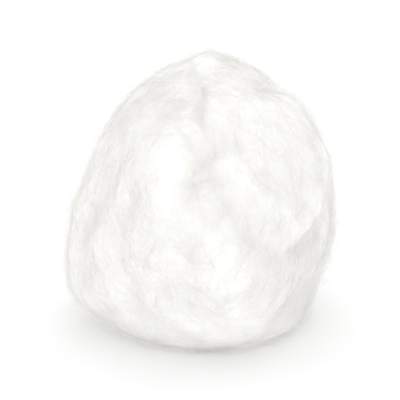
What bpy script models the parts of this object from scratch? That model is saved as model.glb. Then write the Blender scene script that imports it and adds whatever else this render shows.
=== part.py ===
"""A cotton ball: a strip of carded cotton rolled up into a ball, at rest on the flat spot it has pressed.

Metres, +Z up. The origin is the middle of that flat spot, the front faces -Y and +X is to the right.
The strip is wound about an axis that runs from front to back and is bent upwards at both ends. Its end
overlaps the turn below in one long lip over the crown, and each end of the roll is gathered into a dimple.
"""

import math

import bmesh
import bpy
import numpy as np

# The box around the finished ball, in metres
BALL_WIDTH = 0.0360
BALL_DEPTH = 0.0348
BALL_HEIGHT = 0.0368

# The plain egg that the folds are laid on, brought to that box at the end
FULLNESS = 2.35  # 2 is a plain egg, and more fills out its shoulders
TAPER_ACROSS = 0.13  # share by which the crown is narrower, and the underside wider, than the middle
TAPER_DEEP = 0.04  # the same, seen from the side
FOOT_PRESS = 0.0047  # how much of the round underside the floor has pushed in
FOOT_ROUND = 0.0022  # how softly the side turns into the flat
FOOT_TRIM = 0.0003  # the last of that turn, which the flat spot cuts off
FOOT_CALM = 0.0050  # height over which folds and swellings grow from the flat

# The axis that the strip is wound about, in degrees, and its bend
ROLL_TURN = -4.0  # to the right of the front
ROLL_RISE = 13.0  # above the horizon
ROLL_BEND = 0.38  # how far both ends are bent up, as a share of the ball's radius

# The lip, where the strip's end overlaps the turn below
LIP_STEP = 0.0017  # thickness of the last turn at its edge
LIP_LAID = 0.45  # share by which it is laid flat on the crown
LIP_ROUND = 0.0014  # half the width that the step takes
LIP_OVERHANG = 0.0005  # how far the edge rolls over the groove
GROOVE_DEPTH = 0.0005
GROOVE_WIDTH = 0.0015
GROOVE_SET = 0.0015  # from the lip's line to the bottom of the groove
LIP_SWAY = 0.0032  # how far the lip wanders to each side of a straight line
LIP_SWINGS = 1.5  # how often it swings there and back on its way from dimple to dimple
LIP_SHIFT = 0.4  # how far into a swing it is halfway, in radians
LIP_START = 0.0015  # distance from the axis at which the lip is first felt
LIP_FULL = 0.0100  # and at which it has its whole height

# The dimples at the two ends of the roll
DIMPLE_DEPTH = 0.0019
DIMPLE_WIDTH = 0.0034
GATHER_REACH = 0.0085  # how far the gathers run out from a dimple
GATHER_WIDTH = 0.0015
# Each gather: the way it runs from its dimple, in degrees anticlockwise from up, and its depth
FRONT_GATHERS = ((48.0, 0.0006), (106.0, 0.0004), (157.0, 0.0005), (238.0, 0.0003), (296.0, 0.0005))
BACK_GATHERS = ((52.0, 0.0004), (118.0, 0.0006), (186.0, 0.0004), (251.0, 0.0007), (312.0, 0.0005))

# The tucks: creases where the soft strip has buckled. Each has the turn and rise of its two ends, in
# degrees as for the axis, then its depth, its half width and its sideways bow
TUCKS = (
    ((-52.0, 40.0), (-76.0, -4.0), 0.0010, 0.0022, 0.0024),
    ((38.0, -4.0), (88.0, 18.0), 0.0012, 0.0023, -0.0026),
    ((60.0, 62.0), (112.0, 30.0), 0.0010, 0.0021, 0.0020),
    ((138.0, -8.0), (160.0, 34.0), 0.0011, 0.0021, 0.0022),
    ((-96.0, -14.0), (-146.0, 2.0), 0.0012, 0.0023, -0.0024),
    ((-120.0, 58.0), (-158.0, 26.0), 0.0010, 0.0020, -0.0018),
    ((-30.0, -14.0), (14.0, -26.0), 0.0007, 0.0021, 0.0016),
)

# The bulges, and with a minus the hollows: the turn and rise of the middle, the height and the half width
BULGES = (
    ((-84.0, -32.0), 0.0016, 0.0090),
    ((62.0, -40.0), -0.0014, 0.0090),
    ((-25.0, 41.0), 0.0007, 0.0040),
    ((28.0, 57.0), 0.0008, 0.0050),
    ((-17.0, 8.0), 0.0006, 0.0050),
    ((80.0, 36.0), 0.0014, 0.0070),
    ((176.0, 58.0), 0.0012, 0.0080),
    ((128.0, -18.0), 0.0010, 0.0070),
    ((-150.0, 36.0), -0.0008, 0.0060),
)

# Soft swellings all over: broad ones, and smaller lumps on them
SWELL_HEIGHT = 0.00050
SWELL_LENGTH = 0.0210
LUMP_HEIGHT = 0.00018
LUMP_LENGTH = 0.0085
WAVES = 11  # crossing waves that make up each kind
WAVE_SCATTER = 2.4  # radians by which one wave's start is ahead of another's

GRID = 30  # faces along one edge of the cube that the ball's skin is spread from

COTTON_COLOUR = (0.93, 0.93, 0.915, 1.0)
COTTON_ROUGHNESS = 0.96
SHARP_ANGLE = 60.0  # degrees above which an edge is shaded sharp, as the rim of the flat spot is

MEAN_RADIUS = (BALL_WIDTH + BALL_DEPTH + BALL_HEIGHT) / 6
HALF_HEIGHT = (BALL_HEIGHT + FOOT_PRESS) / 2


def heading(turn, rise):
    """The unit vector at a turn to the right of the front and a rise above the horizon, in degrees."""
    a, e = math.radians(turn), math.radians(rise)
    return np.array((math.sin(a) * math.cos(e), -math.cos(a) * math.cos(e), math.sin(e)))


def unit(vectors):
    return vectors / np.linalg.norm(vectors, axis=-1, keepdims=True)


def roll_axes():
    """The roll's axis towards the front, the way up from it over the crown, and the way to the left."""
    axis = heading(ROLL_TURN, ROLL_RISE)
    up = unit(np.array((0.0, 0.0, 1.0)) - axis[2] * axis)
    return axis, up, np.cross(axis, up)


def bent(straight):
    """Where each direction of a straight roll points once both ends are bent up.

    The middle is raised by ROLL_BEND, and each direction is followed from there to the unit sphere.
    """
    lift = ROLL_BEND * roll_axes()[1]
    along = straight @ lift
    reach = np.sqrt(along**2 + 1.0 - ROLL_BEND**2) - along
    return straight * reach[:, None] + lift


def straightened(directions):
    """The direction of the straight roll that each direction of the bent one comes from."""
    return unit(directions - ROLL_BEND * roll_axes()[1])


def smooth_step(value, low, high):
    """0 below low, 1 above high, and a smooth rise between."""
    t = np.clip((value - low) / (high - low), 0.0, 1.0)
    return t * t * (3.0 - 2.0 * t)


def core(directions):
    """The plain ball: an egg with its full end down. Seen from any side it is a superellipse of the power
    FULLNESS, before the taper."""
    half = np.array((BALL_WIDTH / 2, BALL_DEPTH / 2, HALF_HEIGHT))
    across = np.hypot(directions[:, 0], directions[:, 1])
    full = (across**FULLNESS + np.abs(directions[:, 2]) ** FULLNESS) ** (-1.0 / FULLNESS)
    points = directions * full[:, None] * half
    points[:, :2] *= 1.0 - np.outer(directions[:, 2], (TAPER_ACROSS, TAPER_DEEP))
    return points


def wrapped(angles):
    """Angles brought between minus and plus half a turn."""
    return (angles + math.pi) % (2 * math.pi) - math.pi


def lip_line(cosine):
    """The lip's angle round the axis, which sways from side to side on its way from dimple to dimple."""
    return LIP_SWAY / MEAN_RADIUS * np.sin(math.pi * LIP_SWINGS * cosine + LIP_SHIFT)


def lip(straight):
    """The height that the last turn adds, and how far its edge is pushed over the groove.

    The height climbs evenly through one turn and drops by LIP_STEP at the lip. The groove lies at the foot
    of the drop, and both fade into the dimples.
    """
    axis, up, left = roll_axes()
    cosine = straight @ axis
    angle = wrapped(np.arctan2(straight @ left, straight @ up) - lip_line(cosine))
    from_axis = MEAN_RADIUS * np.sqrt(np.maximum(1.0 - cosine**2, 0.0))
    beyond = angle * from_axis
    strength = smooth_step(from_axis, LIP_START, LIP_FULL) * (1.0 - LIP_LAID * (1.0 - cosine**2) ** 2)
    turn = LIP_STEP * (angle / (2 * math.pi) - 0.5 * np.tanh(beyond / LIP_ROUND))
    groove = GROOVE_DEPTH * np.exp(-(((beyond - GROOVE_SET) / GROOVE_WIDTH) ** 2))
    roll_over = LIP_OVERHANG * np.exp(-(((beyond + LIP_ROUND / 2) / LIP_ROUND) ** 2))
    return strength * (turn - groove), strength * roll_over


def crease(across, width):
    """A groove between two raised banks, 1 deep: the second derivative of a bell curve."""
    x = across / width
    return -(1.0 - x**2) * np.exp(-(x**2) / 2)


def dimple(straight, side, gathers):
    """The pit at one end of the roll, and the creases that run out from it like the gathers of a purse.

    The side is 1 at the front and -1 at the back, where the gathers are seen from behind.
    """
    axis, up, left = roll_axes()
    angle = np.arctan2(side * (straight @ left), straight @ up)
    distance = np.arccos(np.clip(side * (straight @ axis), -1.0, 1.0)) * MEAN_RADIUS
    height = -DIMPLE_DEPTH * np.exp(-((distance / DIMPLE_WIDTH) ** 2))
    fade = smooth_step(distance, 0.0, DIMPLE_WIDTH) * np.exp(-((distance / GATHER_REACH) ** 4))
    for way, depth in gathers:
        aside = wrapped(angle - math.radians(way)) * distance
        height += depth * fade * crease(aside, GATHER_WIDTH * (0.5 + distance / GATHER_REACH))
    return height


def tuck(directions, start, end, depth, width, bow):
    """A crease along the great circle between two headings, bowed sideways and faded at its ends."""
    first, last = heading(*start), heading(*end)
    middle, normal = unit(first + last), unit(np.cross(first, last))
    half_length = math.acos(float(first @ last)) / 2 * MEAN_RADIUS
    along = np.arctan2(directions @ np.cross(normal, middle), directions @ middle) * MEAN_RADIUS
    across = np.arcsin(np.clip(directions @ normal, -1.0, 1.0)) * MEAN_RADIUS
    share = along / half_length
    bowed = across - bow * (1.0 - np.minimum(share**2, 4.0))
    return depth * np.exp(-(share**4)) * crease(bowed, width)


def bulge(directions, middle, height, width):
    """A round swelling in the shape of a bell."""
    distance = np.arccos(np.clip(directions @ heading(*middle), -1.0, 1.0)) * MEAN_RADIUS
    return height * np.exp(-((distance / width) ** 2))


def waves(points, length, seed):
    """Waves of one length that cross from directions spread evenly over a sphere, with a spread near 1."""
    steps = np.arange(WAVES) + 0.5
    rise = 1.0 - 2.0 * steps / WAVES
    turn = steps * math.pi * (3.0 - math.sqrt(5.0)) + seed
    flat = np.sqrt(1.0 - rise**2)
    ways = np.stack((flat * np.cos(turn), flat * np.sin(turn), rise), axis=1)
    phases = WAVE_SCATTER * steps**1.5 + seed
    return np.sin(points @ ways.T * (2 * math.pi / length) + phases).sum(axis=1) / math.sqrt(WAVES / 2)


def relief(points, directions):
    """The height of every fold and swelling above the plain ball, and the push of the lip's edge."""
    straight = straightened(directions)
    height, push = lip(straight)
    height += dimple(straight, 1.0, FRONT_GATHERS)
    height += dimple(straight, -1.0, BACK_GATHERS)
    for one in TUCKS:
        height += tuck(directions, *one)
    for one in BULGES:
        height += bulge(directions, *one)
    height += SWELL_HEIGHT * waves(points, SWELL_LENGTH, 1.0)
    height += LUMP_HEIGHT * waves(points, LUMP_LENGTH, 5.0)
    calm = smooth_step(points[:, 2] + HALF_HEIGHT, FOOT_PRESS, FOOT_PRESS + FOOT_CALM)
    return calm * height, calm * push


def pressed(heights):
    """Heights above the floor once the underside is pushed up to it: a smooth maximum of each and 0."""
    above = heights + HALF_HEIGHT - FOOT_PRESS
    return (above + np.sqrt(above**2 + FOOT_ROUND**2)) / 2 - FOOT_TRIM


def skin(directions):
    """The finished surface point that lies in each direction from the ball's middle."""
    points = core(directions)
    height, push = relief(points, directions)
    onward = unit(np.cross(roll_axes()[0], straightened(directions)) + 1e-9)
    points += directions * height[:, None] + onward * push[:, None]
    points[:, 2] = pressed(points[:, 2])
    return points


def spread_directions(cube):
    """Directions for the points of a cube of half side 1, evenly spread over the roll.

    The cube's Z is the roll's axis and its X the way up over the crown, twisted so that the lip follows a
    row of faces.
    """
    local = unit(np.tan(cube * (math.pi / 4)))
    around = np.hypot(local[:, 0], local[:, 1])
    angle = np.arctan2(local[:, 1], local[:, 0]) + lip_line(local[:, 2])
    axis, up, left = roll_axes()
    spread = np.stack((around * np.cos(angle), around * np.sin(angle), local[:, 2]), axis=1)
    return bent(spread @ np.stack((up, left, axis)))


def cotton():
    """Dull white cotton."""
    made = bpy.data.materials.new("cotton")
    made.use_nodes = True
    shader = made.node_tree.nodes["Principled BSDF"]
    shader.inputs["Base Color"].default_value = COTTON_COLOUR
    shader.inputs["Roughness"].default_value = COTTON_ROUGHNESS
    shader.inputs["Metallic"].default_value = 0.0
    return made


def cut_foot(shape):
    """Trims the underside at the floor and closes it with one flat face."""
    everything = shape.verts[:] + shape.edges[:] + shape.faces[:]
    floor = {"plane_co": (0, 0, 0), "plane_no": (0, 0, 1)}
    cut = bmesh.ops.bisect_plane(shape, geom=everything, clear_inner=True, **floor)
    rim = [e for e in cut["geom_cut"] if isinstance(e, bmesh.types.BMEdge)]
    bmesh.ops.contextual_create(shape, geom=rim)


def fit_box(shape):
    """Stands the ball's box over the origin and stretches it to the three driving dimensions."""
    points = np.array([v.co for v in shape.verts])
    low, high = points.min(axis=0), points.max(axis=0)
    middle = (low + high) / 2
    scale = np.array((BALL_WIDTH, BALL_DEPTH, BALL_HEIGHT)) / (high - low)
    bmesh.ops.translate(shape, verts=shape.verts, vec=(-middle[0], -middle[1], -low[2]))
    bmesh.ops.scale(shape, verts=shape.verts, vec=scale)


def cotton_ball():
    """The ball as one closed skin, spread from a cube, with its underside trimmed flat."""
    shape = bmesh.new()
    bmesh.ops.create_cube(shape, size=2.0)
    bmesh.ops.subdivide_edges(shape, edges=shape.edges, cuts=GRID - 1, use_grid_fill=True)
    points = skin(spread_directions(np.array([v.co for v in shape.verts])))
    for vertex, point in zip(shape.verts, points):
        vertex.co = point
    cut_foot(shape)
    fit_box(shape)
    bmesh.ops.recalc_face_normals(shape, faces=shape.faces)
    mesh = bpy.data.meshes.new("cotton_ball")
    shape.to_mesh(mesh)
    shape.free()
    mesh.shade_smooth()
    mesh.set_sharp_from_angle(angle=math.radians(SHARP_ANGLE))
    mesh.materials.append(cotton())
    ball = bpy.data.objects.new("cotton_ball", mesh)
    bpy.context.collection.objects.link(ball)
    return ball


for old in list(bpy.data.objects):
    bpy.data.objects.remove(old)
cotton_ball()
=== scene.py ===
"""A cotton ball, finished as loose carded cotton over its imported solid.

The wad is one skin, worked out by the solid's own formula on a finer grid, with the lip's groove mostly
filled and small puffs added. Over it lie layers of cotton fibres in wisps that follow the way the strip was
wound, and a last thin cover of curled hairs and loops, which softens the outline. Sizes are in metres.
"""

import math

import bpy
import numpy as np
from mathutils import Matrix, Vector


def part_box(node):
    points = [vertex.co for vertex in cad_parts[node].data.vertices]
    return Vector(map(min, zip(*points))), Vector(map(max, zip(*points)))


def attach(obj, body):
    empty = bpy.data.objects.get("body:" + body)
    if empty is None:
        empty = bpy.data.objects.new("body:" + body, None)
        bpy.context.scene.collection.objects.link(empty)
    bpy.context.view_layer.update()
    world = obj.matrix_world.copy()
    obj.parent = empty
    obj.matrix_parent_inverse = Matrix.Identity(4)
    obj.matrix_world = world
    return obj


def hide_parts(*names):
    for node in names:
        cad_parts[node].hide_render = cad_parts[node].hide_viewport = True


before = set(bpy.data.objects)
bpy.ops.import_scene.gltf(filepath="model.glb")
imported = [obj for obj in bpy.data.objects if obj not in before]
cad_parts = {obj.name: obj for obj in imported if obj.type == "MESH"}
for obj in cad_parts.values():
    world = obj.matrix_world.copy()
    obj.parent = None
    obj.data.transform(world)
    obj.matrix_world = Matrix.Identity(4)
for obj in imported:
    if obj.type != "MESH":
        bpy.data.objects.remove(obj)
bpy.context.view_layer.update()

# The plain egg and its flat spot, as in the solid
NODE = "cotton_ball"
NODE_LOW, NODE_HIGH = (np.array(corner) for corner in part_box(NODE))
BALL_WIDTH, BALL_DEPTH, BALL_HEIGHT = NODE_HIGH - NODE_LOW
FULLNESS = 2.35  # 2 is a plain egg, and more fills out its shoulders
TAPER_ACROSS = 0.13
TAPER_DEEP = 0.04
FOOT_PRESS = 0.0047
FOOT_ROUND = 0.0022
FOOT_TRIM = 0.0003
FOOT_CALM = 0.0050

# The bent axis that the strip is wound about: degrees to the right of the front and above the horizon
ROLL_TURN = -4.0
ROLL_RISE = 13.0
ROLL_BEND = 0.38

# The lip over the crown, where the strip's end overlaps the turn below, and the groove at its foot
LIP_STEP = 0.0017
LIP_LAID = 0.45
LIP_ROUND = 0.0014
LIP_OVERHANG = 0.0005
GROOVE_DEPTH = 0.0005
GROOVE_WIDTH = 0.0015
GROOVE_SET = 0.0015
LIP_SWAY = 0.0032
LIP_SWINGS = 1.5
LIP_SHIFT = 0.4
LIP_START = 0.0015
LIP_FULL = 0.0100

# The dimples at the roll's two ends. Each gather has the way that it runs from its dimple, and its depth
DIMPLE_DEPTH = 0.0019
DIMPLE_WIDTH = 0.0034
GATHER_REACH = 0.0085
GATHER_WIDTH = 0.0015
FRONT_GATHERS = ((48.0, 0.0006), (106.0, 0.0004), (157.0, 0.0005), (238.0, 0.0003), (296.0, 0.0005))
BACK_GATHERS = ((52.0, 0.0004), (118.0, 0.0006), (186.0, 0.0004), (251.0, 0.0007), (312.0, 0.0005))

# The tucks: the turn and rise of both ends, then the depth, the half width and the sideways bow
TUCKS = (
    ((-52.0, 40.0), (-76.0, -4.0), 0.0010, 0.0022, 0.0024),
    ((38.0, -4.0), (88.0, 18.0), 0.0012, 0.0023, -0.0026),
    ((60.0, 62.0), (112.0, 30.0), 0.0010, 0.0021, 0.0020),
    ((138.0, -8.0), (160.0, 34.0), 0.0011, 0.0021, 0.0022),
    ((-96.0, -14.0), (-146.0, 2.0), 0.0012, 0.0023, -0.0024),
    ((-120.0, 58.0), (-158.0, 26.0), 0.0010, 0.0020, -0.0018),
    ((-30.0, -14.0), (14.0, -26.0), 0.0007, 0.0021, 0.0016),
)

# The bulges, and with a minus the hollows: the turn and rise of the middle, the height and the half width
BULGES = (
    ((-84.0, -32.0), 0.0016, 0.0090),
    ((62.0, -40.0), -0.0014, 0.0090),
    ((-25.0, 41.0), 0.0007, 0.0040),
    ((28.0, 57.0), 0.0008, 0.0050),
    ((-17.0, 8.0), 0.0006, 0.0050),
    ((80.0, 36.0), 0.0014, 0.0070),
    ((176.0, 58.0), 0.0012, 0.0080),
    ((128.0, -18.0), 0.0010, 0.0070),
    ((-150.0, 36.0), -0.0008, 0.0060),
)

# Soft swellings all over, broad ones and smaller lumps
SWELL_HEIGHT = 0.00050
SWELL_LENGTH = 0.0210
SWELL_SEED = 1.0
LUMP_HEIGHT = 0.00018
LUMP_LENGTH = 0.0085
LUMP_SEED = 5.0
WAVES = 11
WAVE_SCATTER = 2.4

SOLID_GRID = 30  # faces along one edge of the cube that the solid's skin is spread from
WAD_GRID = 112  # and the wad's

# The wad's loose cotton: puffs of three sizes, drawn out along the winding, and fibre that fills the groove
PUFFS = ((0.00028, 0.0062), (0.00013, 0.0028), (0.00006, 0.0013))  # height and length of each kind
PUFF_STRETCH = 1.7
PUFF_SEED = 11.0
PUFF_SEED_STEP = 3.0
PUFF_MEAN = 0.8  # mean size of the crossing waves that the puffs are made of
PUFF_ROUND = 0.02  # rounds the valleys between puffs
PUFF_WANDER = 0.0012  # how far slow waves shift the puffs
PUFF_WANDER_LENGTH = 0.011
PUFF_WANDER_SEEDS = (2.0, 7.0, 9.0)
WAD_GROOVE_DEPTH = 0.0001

MEAN_RADIUS = (BALL_WIDTH + BALL_DEPTH + BALL_HEIGHT) / 6
HALF_HEIGHT = (BALL_HEIGHT + FOOT_PRESS) / 2
BALL_MIDDLE = (NODE_LOW + NODE_HIGH) / 2

# Added to vectors that are brought to length 1, so that none has no length
TINY = 1e-9
TINIER = 1e-12


def heading(turn, rise):
    """The unit vector at a turn to the right of the front and a rise above the horizon, in degrees."""
    a, e = math.radians(turn), math.radians(rise)
    return np.array((math.sin(a) * math.cos(e), -math.cos(a) * math.cos(e), math.sin(e)))


def unit(vectors):
    """The vectors brought to length 1."""
    return vectors / np.linalg.norm(vectors, axis=-1, keepdims=True)


AXIS = heading(ROLL_TURN, ROLL_RISE)
OVER_CROWN = unit(np.array((0.0, 0.0, 1.0)) - AXIS[2] * AXIS)
LEFTWARDS = np.cross(AXIS, OVER_CROWN)


def bent(straight):
    """Where each direction of a straight roll points once both ends are bent up.

    The middle is raised by ROLL_BEND, and each direction is followed from there to the unit sphere.
    """
    lift = ROLL_BEND * OVER_CROWN
    along = straight @ lift
    reach = np.sqrt(along**2 + 1.0 - ROLL_BEND**2) - along
    return straight * reach[:, None] + lift


def straightened(directions):
    """The direction of the straight roll that each direction of the bent one comes from."""
    return unit(directions - ROLL_BEND * OVER_CROWN)


def smooth_step(value, low, high):
    """0 below low, 1 above high, and a smooth rise between."""
    t = np.clip((value - low) / (high - low), 0.0, 1.0)
    return t * t * (3.0 - 2.0 * t)


def core(directions):
    """The plain ball: an egg with its full end down. Seen from any side it is a superellipse of the power
    FULLNESS, before the taper."""
    half = np.array((BALL_WIDTH / 2, BALL_DEPTH / 2, HALF_HEIGHT))
    across = np.hypot(directions[:, 0], directions[:, 1])
    full = (across**FULLNESS + np.abs(directions[:, 2]) ** FULLNESS) ** (-1.0 / FULLNESS)
    points = directions * full[:, None] * half
    points[:, :2] *= 1.0 - np.outer(directions[:, 2], (TAPER_ACROSS, TAPER_DEEP))
    return points


def wrapped(angles):
    """Angles brought between minus and plus half a turn."""
    return (angles + math.pi) % (2 * math.pi) - math.pi


def lip_line(cosine):
    """The lip's angle round the axis, which sways from side to side on its way from dimple to dimple."""
    return LIP_SWAY / MEAN_RADIUS * np.sin(math.pi * LIP_SWINGS * cosine + LIP_SHIFT)


def lip(straight, groove_depth):
    """The height that the last turn adds, and how far its edge is pushed over the groove.

    The height climbs evenly through one turn and drops by LIP_STEP at the lip. The groove lies at the foot
    of the drop, and both fade into the dimples.
    """
    cosine = straight @ AXIS
    angle = wrapped(np.arctan2(straight @ LEFTWARDS, straight @ OVER_CROWN) - lip_line(cosine))
    from_axis = MEAN_RADIUS * np.sqrt(np.maximum(1.0 - cosine**2, 0.0))
    beyond = angle * from_axis
    strength = smooth_step(from_axis, LIP_START, LIP_FULL) * (1.0 - LIP_LAID * (1.0 - cosine**2) ** 2)
    turn = LIP_STEP * (angle / (2 * math.pi) - 0.5 * np.tanh(beyond / LIP_ROUND))
    groove = groove_depth * np.exp(-(((beyond - GROOVE_SET) / GROOVE_WIDTH) ** 2))
    roll_over = LIP_OVERHANG * np.exp(-(((beyond + LIP_ROUND / 2) / LIP_ROUND) ** 2))
    return strength * (turn - groove), strength * roll_over


def crease(across, width):
    """A groove between two raised banks, 1 deep: the second derivative of a bell curve."""
    x = across / width
    return -(1.0 - x**2) * np.exp(-(x**2) / 2)


def dimple(straight, side, gathers):
    """The pit at one end of the roll, the front for side 1 and the back for side -1, and its gathers."""
    angle = np.arctan2(side * (straight @ LEFTWARDS), straight @ OVER_CROWN)
    distance = np.arccos(np.clip(side * (straight @ AXIS), -1.0, 1.0)) * MEAN_RADIUS
    height = -DIMPLE_DEPTH * np.exp(-((distance / DIMPLE_WIDTH) ** 2))
    fade = smooth_step(distance, 0.0, DIMPLE_WIDTH) * np.exp(-((distance / GATHER_REACH) ** 4))
    for way, depth in gathers:
        aside = wrapped(angle - math.radians(way)) * distance
        height += depth * fade * crease(aside, GATHER_WIDTH * (0.5 + distance / GATHER_REACH))
    return height


def tuck(directions, start, end, depth, width, bow):
    """A crease along the great circle between two headings, bowed sideways and faded at its ends."""
    first, last = heading(*start), heading(*end)
    middle, normal = unit(first + last), unit(np.cross(first, last))
    half_length = math.acos(float(first @ last)) / 2 * MEAN_RADIUS
    along = np.arctan2(directions @ np.cross(normal, middle), directions @ middle) * MEAN_RADIUS
    across = np.arcsin(np.clip(directions @ normal, -1.0, 1.0)) * MEAN_RADIUS
    share = along / half_length
    bowed = across - bow * (1.0 - np.minimum(share**2, 4.0))
    return depth * np.exp(-(share**4)) * crease(bowed, width)


def bulge(directions, middle, height, width):
    """A round swelling in the shape of a bell."""
    distance = np.arccos(np.clip(directions @ heading(*middle), -1.0, 1.0)) * MEAN_RADIUS
    return height * np.exp(-((distance / width) ** 2))


def spiral(count, start=0.0):
    """Directions spread evenly over a sphere: golden-angle steps round a spiral from pole to pole."""
    steps = np.arange(count) + 0.5
    rise = 1.0 - 2.0 * steps / count
    turn = steps * math.pi * (3.0 - math.sqrt(5.0)) + start
    flat = np.sqrt(1.0 - rise**2)
    return np.stack((flat * np.cos(turn), flat * np.sin(turn), rise), axis=1)


def waves(points, length, seed):
    """Waves of one length that cross from directions spread evenly over a sphere, with a spread near 1."""
    phases = WAVE_SCATTER * (np.arange(WAVES) + 0.5) ** 1.5 + seed
    crossing = np.sin(points @ spiral(WAVES, seed).T * (2 * math.pi / length) + phases)
    return crossing.sum(axis=1) / math.sqrt(WAVES / 2)


def puffs(points):
    """Small billows with creased valleys between them.

    Each kind is the size of crossing waves without their sign, less its mean. They are drawn out along the
    winding.
    """
    on_axis = np.outer(points @ AXIS, AXIS)
    drawn = on_axis + (points - on_axis) / PUFF_STRETCH
    wander = [waves(points, PUFF_WANDER_LENGTH, seed) for seed in PUFF_WANDER_SEEDS]
    drawn += PUFF_WANDER * np.stack(wander, axis=1)
    height = np.zeros(len(points))
    for number, (size, length) in enumerate(PUFFS):
        crossing = waves(drawn, 2 * length, PUFF_SEED + PUFF_SEED_STEP * number)
        height += size * (np.sqrt(crossing**2 + PUFF_ROUND) - PUFF_MEAN)
    return height


def skin(directions, loose):
    """The solid's surface point in each direction from its middle.

    Where it is to be loose, it has the wad's puffs and its shallow groove.
    """
    straight, points = straightened(directions), core(directions)
    height, push = lip(straight, WAD_GROOVE_DEPTH if loose else GROOVE_DEPTH)
    height += dimple(straight, 1.0, FRONT_GATHERS) + dimple(straight, -1.0, BACK_GATHERS)
    for one in TUCKS:
        height += tuck(directions, *one)
    for one in BULGES:
        height += bulge(directions, *one)
    height += SWELL_HEIGHT * waves(points, SWELL_LENGTH, SWELL_SEED)
    height += LUMP_HEIGHT * waves(points, LUMP_LENGTH, LUMP_SEED)
    if loose:
        height += puffs(points)
    calm = smooth_step(points[:, 2] + HALF_HEIGHT, FOOT_PRESS, FOOT_PRESS + FOOT_CALM)
    onward = unit(np.cross(AXIS, straight) + TINY)
    points += directions * (calm * height)[:, None] + onward * (calm * push)[:, None]
    above = points[:, 2] + HALF_HEIGHT - FOOT_PRESS
    points[:, 2] = np.maximum((above + np.sqrt(above**2 + FOOT_ROUND**2)) / 2 - FOOT_TRIM, 0.0)
    return points


def spread_directions(cube):
    """Directions for the points of a cube of half side 1, evenly spread over the roll.

    The cube's Z is the roll's axis and its X the way up over the crown, twisted so that the lip follows a
    row of faces.
    """
    local = unit(np.tan(cube * (math.pi / 4)))
    around = np.hypot(local[:, 0], local[:, 1])
    angle = np.arctan2(local[:, 1], local[:, 0]) + lip_line(local[:, 2])
    spread = np.stack((around * np.cos(angle), around * np.sin(angle), local[:, 2]), axis=1)
    return bent(spread @ np.stack((OVER_CROWN, LEFTWARDS, AXIS)))


def cube_grid(cells):
    """The points of a cube of half side 1, its sides cut into square cells, and those cells, facing out."""
    steps = np.linspace(-1.0, 1.0, cells + 1)
    across, along = np.meshgrid(steps, steps, indexing="ij")
    number = np.arange((cells + 1) ** 2).reshape(cells + 1, cells + 1)
    ring = number[:-1, :-1], number[1:, :-1], number[1:, 1:], number[:-1, 1:]
    cell = np.stack(ring, axis=-1).reshape(-1, 4)
    sides, quads = [], []
    for axis in range(3):
        for sign in (1.0, -1.0):
            side = np.full((number.size, 3), sign)
            side[:, (axis + 1) % 3] = across.ravel()
            side[:, (axis + 2) % 3] = along.ravel()
            quads.append((cell if sign > 0 else cell[:, ::-1]) + number.size * len(sides))
            sides.append(side)
    points, merged = np.unique(np.round(np.concatenate(sides), 9), axis=0, return_inverse=True)
    return points, merged.ravel()[np.concatenate(quads)]


def solid_fit():
    """The scale and the shift that bring the skin to the solid's box, taken from the solid's own grid."""
    points = skin(spread_directions(cube_grid(SOLID_GRID)[0]), loose=False)
    low, high = points.min(axis=0), points.max(axis=0)
    scale = (NODE_HIGH - NODE_LOW) / (high - low)
    return scale, NODE_LOW - low * scale


FIT_SCALE, FIT_SHIFT = solid_fit()


def fleece(directions):
    """The wad's surface in each direction: the solid's skin in the solid's place, with loose cotton."""
    return skin(directions, loose=True) * FIT_SCALE + FIT_SHIFT


# The two small steps across the wad that its normals are worked out from
NORMAL_STEP = 0.0006
ASIDE_FROM = (0.31, 0.52, 0.80)  # a slanted way that the first step is square to


def fleece_and_normals(directions):
    """The wad's surface points and their outward normals, from a small step each way across the surface."""
    step = NORMAL_STEP / MEAN_RADIUS
    aside = unit(np.cross(directions, np.array(ASIDE_FROM)))
    other = np.cross(directions, aside)
    here = fleece(directions)
    one = fleece(unit(directions + step * aside)) - here
    two = fleece(unit(directions + step * other)) - here
    return here, unit(np.cross(one, two) + TINIER * directions)


def new_piece(name, points, faces, material):
    """A smooth piece from its points and its faces, which all have the same number of corners."""
    mesh = bpy.data.meshes.new(name)
    mesh.vertices.add(len(points))
    mesh.vertices.foreach_set("co", points.astype(np.float32).ravel())
    mesh.loops.add(faces.size)
    mesh.loops.foreach_set("vertex_index", faces.astype(np.int32).ravel())
    mesh.polygons.add(len(faces))
    mesh.polygons.foreach_set("loop_start", np.arange(len(faces), dtype=np.int32) * faces.shape[1])
    mesh.update(calc_edges=True)
    mesh.validate()
    mesh.shade_smooth()
    mesh.materials.append(material)
    piece = bpy.data.objects.new(name, mesh)
    bpy.context.scene.collection.objects.link(piece)
    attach(piece, "root")
    return piece


# The wisps: where they lie and which way they run
WISP_SCATTER = 1.2  # random shift from even places: radians times the root of the number of wisps
FLOW_SWAY = 1.0  # radians by which their way wanders from the winding
FLOW_LENGTH = 0.014
FLOW_SEED = 3.0

# What each fibre of a wisp has of its own: shares of the wisp's length and curl, and turns in radians
OWN_LENGTH = (0.55, 1.3)
OWN_START = 0.2
OWN_CURL = 0.6
OWN_TURN = 0.22
CRIMP = 0.30  # the turn at each step on top of the curl

FIBRE_SIDES = 3
FIBRE_TAPER = 0.8  # share by which a fibre's section is smaller at its ends
FLOOR_CLEARANCE = 0.00004

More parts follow.
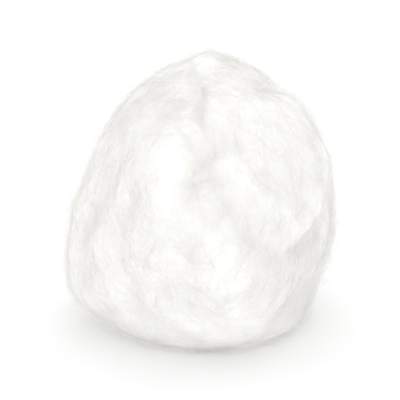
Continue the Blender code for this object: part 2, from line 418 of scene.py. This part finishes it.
# The fibres that lie in the fleece
LYING_IN_WISP = 4  # fibres in each wisp
LYING_POINTS = 8  # points along each fibre
LYING_BREADTH = 0.00060  # how far a wisp's fibres are scattered to each side
LYING_CURL = 110.0  # radians for each metre
LYING_STRAY = 0.7  # radians by which a wisp leaves the winding's way at random
LYING_RIPPLE = 0.00005
LYING_THICKNESS = (0.6, 1.3)  # shares of the layer's thickness
WISP_HEIGHT = 0.6  # share of a fibre's height that its whole wisp has
ARCH_FOOT = 0.2  # share of its height that it has at its ends
ARCH_POWER = 0.6
BRIDGING = 1.8  # how fully it spans the creases that it crosses
BRIDGE_REACH = 2  # points to each side that a span is measured from

# The hairs and loops that stand out of the fleece
STRAY_BREADTH = 0.0012
STRAY_CURL = 160.0
STRAY_STRAY = 2.0
STRAY_RIPPLE = 0.00004
STRAY_THICKNESS = (0.7, 1.2)
REACH_SPREAD = (2.0, 0.5)  # the shape and the scale of a gamma spread with a mean of 1
HAIR_POWER = 1.4
LOOP_HEIGHT = 0.7  # as a share of a hair's


def even_directions(count, rng):
    """Directions spread evenly over a sphere, each then moved a little at random."""
    even = spiral(count)
    return unit(even + rng.normal(0.0, WISP_SCATTER / math.sqrt(count), even.shape))


def turned(headings, directions, angles):
    """Headings across the sphere at these directions, kept level there and turned by angles."""
    level = unit(headings - np.sum(headings * directions, axis=1, keepdims=True) * directions)
    aside = np.cross(directions, level)
    return level * np.cos(angles)[:, None] + aside * np.sin(angles)[:, None]


def fibre_paths(rng, shape, length, breadth, curl, stray):
    """The way that each fibre takes over the sphere, as directions: fibres x points x 3.

    The shape is how many wisps there are, fibres in a wisp and points along a fibre. Each wisp starts with
    one heading, which is the winding's, swayed by slow waves. Its fibres set out from places scattered
    about its middle, each with its own small turn, length and curl, and walk in equal steps that keep
    turning by the curl.
    """
    wisps, each, points = shape
    middle = even_directions(wisps, rng)
    sway = FLOW_SWAY * waves(middle * MEAN_RADIUS, FLOW_LENGTH, FLOW_SEED) + rng.normal(0.0, stray, wisps)
    way = turned(np.cross(AXIS, straightened(middle)), middle, sway)
    wisp_curl = rng.normal(0.0, curl, wisps)
    fibre = np.repeat(np.arange(wisps), each)
    count = len(fibre)
    own_length = length * rng.uniform(*OWN_LENGTH, count)
    aside = rng.normal(0.0, breadth, count)
    behind = own_length / 2 + rng.normal(0.0, length * OWN_START, count)
    middle, way = middle[fibre], way[fibre]
    offset = np.cross(middle, way) * aside[:, None] - way * behind[:, None]
    place = unit(middle + offset / MEAN_RADIUS)
    step = own_length / (points - 1)
    bend = (wisp_curl[fibre] + rng.normal(0.0, curl * OWN_CURL, count)) * step
    crimp = rng.normal(0.0, CRIMP, (points, count))
    way = turned(way, place, rng.normal(0.0, OWN_TURN, count) - bend * points / 2)
    path = [place]
    for number in range(1, points):
        way = turned(way, path[-1], bend + crimp[number])
        path.append(unit(path[-1] + way * (step / MEAN_RADIUS)[:, None]))
    return np.stack(path, axis=1)


def hollows(surface):
    """How far each point of each path lies below the mean of the points round it on the path, measured from
    the ball's middle."""
    reach = np.linalg.norm(surface - BALL_MIDDLE, axis=2)
    longer = np.pad(reach, ((0, 0), (BRIDGE_REACH, BRIDGE_REACH)), mode="edge")
    span = 2 * BRIDGE_REACH + 1
    mean = sum(longer[:, first : first + reach.shape[1]] for first in range(span)) / span
    return np.maximum(mean - reach, 0.0)


def lifted(paths, heights, bridging=0.0):
    """Places over the wad for paths over the sphere, and the wad's normals there.

    Each place is at its height above the surface, or higher in a crease that the fibre bridges, and is kept
    off the floor.
    """
    surface, normals = fleece_and_normals(paths.reshape(-1, 3))
    heights = heights + bridging * hollows(surface.reshape(paths.shape))
    places = surface + normals * heights.reshape(-1, 1)
    places[:, 2] = np.maximum(places[:, 2], FLOOR_CLEARANCE)
    return places.reshape(paths.shape), normals.reshape(paths.shape)


def tubes(places, normals, radii):
    """Closed three-sided tubes along many paths, with a point at each end: all points and triangles.

    A ring of corners stands square to the path at every point but the first and last, a little thinner
    towards them.
    """
    count, points, _ = places.shape
    tangent = unit(np.gradient(places, axis=1) + TINIER)
    side = unit(np.cross(tangent, normals) + TINY)
    other = np.cross(side, tangent)
    rings = points - 2
    share = np.linspace(-1.0, 1.0, points)[1:-1]
    taper = np.sqrt(1.0 - FIBRE_TAPER * share**2)
    turn = np.arange(FIBRE_SIDES) * (2 * math.pi / FIBRE_SIDES)
    radius = (radii[:, None] * taper)[:, :, None, None]
    spoke = np.cos(turn)[:, None] * side[:, 1:-1, None, :] + np.sin(turn)[:, None] * other[:, 1:-1, None, :]
    ring = (places[:, 1:-1, None, :] + radius * spoke).reshape(count, rings * FIBRE_SIDES, 3)
    corners = np.concatenate((places[:, :1], ring, places[:, -1:]), axis=1)
    around = np.arange(FIBRE_SIDES)
    beside = np.roll(around, -1)
    start = np.stack((np.zeros_like(around), 1 + around, 1 + beside), axis=1)
    base = 1 + FIBRE_SIDES * np.arange(rings - 1)[:, None]
    here, there = base + around, base + beside
    next_here, next_there = here + FIBRE_SIDES, there + FIBRE_SIDES
    wall_one = np.stack((here, next_here, there), axis=-1).reshape(-1, 3)
    wall_two = np.stack((there, next_here, next_there), axis=-1).reshape(-1, 3)
    last_ring = 1 + FIBRE_SIDES * (rings - 1)
    tip = np.full_like(around, 1 + FIBRE_SIDES * rings)
    end = np.stack((tip, last_ring + beside, last_ring + around), axis=1)
    pattern = np.concatenate((start, wall_one, wall_two, end))
    first = np.arange(count)[:, None, None] * corners.shape[1]
    return corners.reshape(-1, 3), (pattern + first).reshape(-1, 3)


def along(points):
    """Shares of the way along a fibre, from 0 to 1."""
    return np.linspace(0.0, 1.0, points)


def lying_fibres(name, material, seed, wisps, length, low, high, thickness):
    """A layer of fibres that lie in the fleece: each arches from the surface to its own height and back.

    The arch is half a wave to a power. All fibres of a wisp share a part of their height.
    """
    rng = np.random.default_rng(seed)
    shape = wisps, LYING_IN_WISP, LYING_POINTS
    paths = fibre_paths(rng, shape, length, LYING_BREADTH, LYING_CURL, LYING_STRAY)
    count = len(paths)
    wisp_rise = np.repeat(rng.uniform(0.0, 1.0, wisps), LYING_IN_WISP)
    own_rise = rng.uniform(0.0, 1.0, count)
    level = low + (high - low) * (WISP_HEIGHT * wisp_rise + (1.0 - WISP_HEIGHT) * own_rise)
    arch = np.sin(math.pi * along(LYING_POINTS)) ** ARCH_POWER
    ripple = rng.normal(0.0, LYING_RIPPLE, (count, LYING_POINTS))
    heights = level[:, None] * (ARCH_FOOT + (1.0 - ARCH_FOOT) * arch) + ripple
    places, normals = lifted(paths, heights, bridging=BRIDGING)
    radii = thickness / 2 * rng.uniform(*LYING_THICKNESS, count)
    new_piece(name, *tubes(places, normals, radii), material)


def stray_fibres(name, material, seed, shape, length, rise, loops, thickness):
    """Hairs with one end free in the air, and for the share given as loops, with both ends in the fleece.

    A hair's height grows with the way along it, a little faster towards its end. A loop's is half a wave.
    The shape is how many wisps there are, fibres in a wisp and points along a fibre.
    """
    rng = np.random.default_rng(seed)
    paths = fibre_paths(rng, shape, length, STRAY_BREADTH, STRAY_CURL, STRAY_STRAY)
    count, points, _ = paths.shape
    reach = rise * rng.gamma(*REACH_SPREAD, count)
    hair = np.outer(reach, along(points) ** HAIR_POWER)
    loop = np.outer(reach * LOOP_HEIGHT, np.sin(math.pi * along(points)))
    is_hair = rng.uniform(0.0, 1.0, count) > loops
    ripple = rng.normal(0.0, STRAY_RIPPLE, (count, points))
    places, normals = lifted(paths, np.where(is_hair[:, None], hair, loop) + ripple)
    radii = thickness / 2 * rng.uniform(*STRAY_THICKNESS, count)
    new_piece(name, *tubes(places, normals, radii), material)


# The cotton's colours. The last two are painted shade: greyer copies of the cotton, so that the fibres in
# them show up against the white ones
COTTON_WHITE = (0.965, 0.959, 0.944, 1.0)
COTTON_HOLLOW = (0.935, 0.926, 0.905, 1.0)
COTTON_PAINTED_HALF_SHADE = (0.915, 0.907, 0.888, 1.0)
COTTON_PAINTED_SHADE = (0.85, 0.84, 0.815, 1.0)


def plain_cotton(name, colour):
    """Dull cotton with a soft sheen at grazing angles."""
    made = bpy.data.materials.new(name)
    made.use_nodes = True
    shader = made.node_tree.nodes["Principled BSDF"]
    shader.inputs["Base Color"].default_value = colour
    shader.inputs["Roughness"].default_value = 1.0
    shader.inputs["Specular IOR Level"].default_value = 0.1
    shader.inputs["Sheen Weight"].default_value = 0.25
    shader.inputs["Sheen Roughness"].default_value = 0.6
    return made


def wad_cotton():
    """The wad's cotton, which lets light through.

    It has faint cloudy shades between two whites, and a fine fibrous bump along the winding.
    """
    made = plain_cotton("wad_cotton", COTTON_WHITE)
    nodes, links = made.node_tree.nodes, made.node_tree.links
    shader = nodes["Principled BSDF"]
    shader.inputs["Subsurface Weight"].default_value = 1.0
    shader.inputs["Subsurface Radius"].default_value = (1.0, 0.97, 0.92)
    shader.inputs["Subsurface Scale"].default_value = 0.005
    place = nodes.new("ShaderNodeTexCoord")
    cloud = nodes.new("ShaderNodeTexNoise")
    cloud.inputs["Scale"].default_value = 160.0
    cloud.inputs["Detail"].default_value = 4.0
    links.new(place.outputs["Object"], cloud.inputs["Vector"])
    shades = nodes.new("ShaderNodeMix")
    shades.data_type = "RGBA"
    shades.inputs["A"].default_value = COTTON_HOLLOW
    shades.inputs["B"].default_value = COTTON_WHITE
    links.new(cloud.outputs["Fac"], shades.inputs["Factor"])
    links.new(shades.outputs["Result"], shader.inputs["Base Color"])
    drawn = nodes.new("ShaderNodeMapping")
    drawn.inputs["Scale"].default_value = (1.0, 3.2, 1.0)
    links.new(place.outputs["Object"], drawn.inputs["Vector"])
    fuzz = nodes.new("ShaderNodeTexNoise")
    fuzz.inputs["Scale"].default_value = 1500.0
    fuzz.inputs["Detail"].default_value = 3.0
    links.new(drawn.outputs["Vector"], fuzz.inputs["Vector"])
    bump = nodes.new("ShaderNodeBump")
    bump.inputs["Strength"].default_value = 0.5
    bump.inputs["Distance"].default_value = 0.0002
    links.new(fuzz.outputs["Fac"], bump.inputs["Height"])
    links.new(bump.outputs["Normal"], shader.inputs["Normal"])
    return made


def wad():
    """The whole wad as one closed skin, in the place of the solid."""
    cube, quads = cube_grid(WAD_GRID)
    piece = new_piece("cotton_wad", fleece(spread_directions(cube)), quads, wad_cotton())
    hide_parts(NODE)


# The studio. Turns are in degrees to the right of the front and rises above the horizon
VIEW_RISE = 19.0  # that the photograph is taken from
LENS = 150.0
SENSOR = 36.0
CLIP_START = 0.01
BALL_SHARE = 0.66  # of the picture's width that the ball takes
AIM_DROP = 0.0008  # how far below the ball's middle the camera is aimed
SKY_LEVEL = 1.06
KEY_HEADING = (168.0, 76.0)
KEY_LEVEL = 0.65
KEY_SOFTNESS = 45.0
FILL_HEADING = (-8.0, 10.0)
FILL_LEVEL = 0.8
FILL_SOFTNESS = 100.0
FLOOR_HALF = 6.0
FLOOR_DROP = 0.00003
FLOOR_BOUNCE = (0.92, 0.92, 0.92, 1.0)
FLOOR_SHOWN = (0.5, 0.5, 0.5, 1.0)
FLOOR_GLOW = 0.38  # the floor's own light as the camera sees it
FLOOR_LIGHT = 0.09  # and as it reaches the ball from below
WHITE = (1.0, 1.0, 1.0, 1.0)
LIGHT_BOUNCES = 16  # cotton is white because light bounces through it many times


def floor():
    """A pale floor that glows, most of all to the camera: it shows white and keeps a soft shadow."""
    corners = np.array(((-1, -1), (1, -1), (1, 1), (-1, 1))) * FLOOR_HALF
    points = np.column_stack((corners, np.full(len(corners), -FLOOR_DROP)))
    mesh = bpy.data.meshes.new("floor")
    mesh.from_pydata(points.tolist(), [], [(0, 1, 2, 3)])
    made = bpy.data.materials.new("floor")
    made.use_nodes = True
    nodes, links = made.node_tree.nodes, made.node_tree.links
    shader = nodes["Principled BSDF"]
    shader.inputs["Roughness"].default_value = 1.0
    shader.inputs["Specular IOR Level"].default_value = 0.0
    shader.inputs["Emission Color"].default_value = WHITE
    sight = nodes.new("ShaderNodeLightPath")
    shown = nodes.new("ShaderNodeMix")
    shown.data_type = "RGBA"
    shown.inputs["A"].default_value = FLOOR_BOUNCE
    shown.inputs["B"].default_value = FLOOR_SHOWN
    links.new(sight.outputs["Is Camera Ray"], shown.inputs["Factor"])
    links.new(shown.outputs["Result"], shader.inputs["Base Color"])
    glow = nodes.new("ShaderNodeMapRange")
    glow.inputs["To Min"].default_value = FLOOR_LIGHT
    glow.inputs["To Max"].default_value = FLOOR_GLOW
    links.new(sight.outputs["Is Camera Ray"], glow.inputs["Value"])
    links.new(glow.outputs["Result"], shader.inputs["Emission Strength"])
    mesh.materials.append(made)
    piece = bpy.data.objects.new("floor", mesh)
    bpy.context.scene.collection.objects.link(piece)


def sky():
    """An even white light from all round, which shows as plain white to the camera."""
    world = bpy.data.worlds.new("studio")
    world.use_nodes = True
    nodes, links = world.node_tree.nodes, world.node_tree.links
    sight = nodes.new("ShaderNodeLightPath")
    level = nodes.new("ShaderNodeMapRange")
    level.inputs["To Min"].default_value = SKY_LEVEL
    level.inputs["To Max"].default_value = 1.0
    links.new(sight.outputs["Is Camera Ray"], level.inputs["Value"])
    links.new(level.outputs["Result"], nodes["Background"].inputs["Strength"])
    nodes["Background"].inputs["Color"].default_value = WHITE
    bpy.context.scene.world = world


def lamp(name, turn, rise, level, softness):
    """A far lamp, as wide as the softness in degrees, that shines from the heading of turn and rise."""
    light = bpy.data.lights.new(name, "SUN")
    light.energy = level
    light.angle = math.radians(softness)
    holder = bpy.data.objects.new(name, light)
    holder.rotation_euler = (math.radians(90.0 - rise), 0.0, math.radians(turn))
    bpy.context.scene.collection.objects.link(holder)


def camera():
    """A long lens at the photograph's height of view, aimed at the middle of the ball as it is seen."""
    data = bpy.data.cameras.new("camera")
    data.lens = LENS
    data.sensor_width = SENSOR
    data.clip_start = CLIP_START
    distance = BALL_WIDTH / BALL_SHARE * LENS / SENSOR
    rise = math.radians(VIEW_RISE)
    aim = np.array((0.0, 0.0, BALL_HEIGHT / 2 - AIM_DROP))
    place = aim + distance * np.array((0.0, -math.cos(rise), math.sin(rise)))
    holder = bpy.data.objects.new("camera", data)
    holder.location = place.tolist()
    holder.rotation_euler = (math.pi / 2 - rise, 0.0, 0.0)
    bpy.context.scene.collection.objects.link(holder)
    bpy.context.scene.camera = holder


wad()
white = plain_cotton("fibre_cotton", COTTON_WHITE)
# Painted shade: a greyer copy of the cotton, for the under layer and the stray hairs
shade_painted = plain_cotton("painted_shade_cotton", COTTON_PAINTED_SHADE)
# A lighter painted shade: a greyer copy of the cotton, for the long fuzz
middle = plain_cotton("half_shade_cotton", COTTON_PAINTED_HALF_SHADE)
# The under layer's fibres are greyer than the top layer's: painted shade beneath it
lying_fibres(
    "under_fleece",
    shade_painted,
    seed=11,
    wisps=1300,
    length=0.0070,
    low=0.00005,  # its height above the wad, from here
    high=0.00035,  # to here
    thickness=0.000034,
)
lying_fibres(
    "top_fleece",
    white,
    seed=13,
    wisps=1300,
    length=0.0080,
    low=0.00015,
    high=0.00080,
    thickness=0.000032,
)
stray_fibres(
    "short_fuzz",
    white,
    seed=15,
    shape=(10800, 1, 5),
    length=0.0016,
    rise=0.00070,
    loops=0.2,
    thickness=0.000026,
)
# The long fuzz is a little greyer than the cotton: painted shade
stray_fibres(
    "long_fuzz",
    middle,
    seed=16,
    shape=(5300, 1, 8),
    length=0.0035,
    rise=0.00100,
    loops=0.4,
    thickness=0.000028,
)
# The stray hairs are greyer than the cotton: painted shade, so that they show against the white
stray_fibres(
    "stray_hairs",
    shade_painted,
    seed=14,
    shape=(300, 4, 12),
    length=0.0080,
    rise=0.0015,
    loops=0.5,
    thickness=0.000032,
)

floor()
sky()
lamp("overhead", *KEY_HEADING, KEY_LEVEL, KEY_SOFTNESS)
lamp("fill", *FILL_HEADING, FILL_LEVEL, FILL_SOFTNESS)
camera()
bpy.context.scene.view_settings.view_transform = "Standard"
bpy.context.scene.cycles.diffuse_bounces = LIGHT_BOUNCES
bpy.context.scene.cycles.max_bounces = LIGHT_BOUNCES
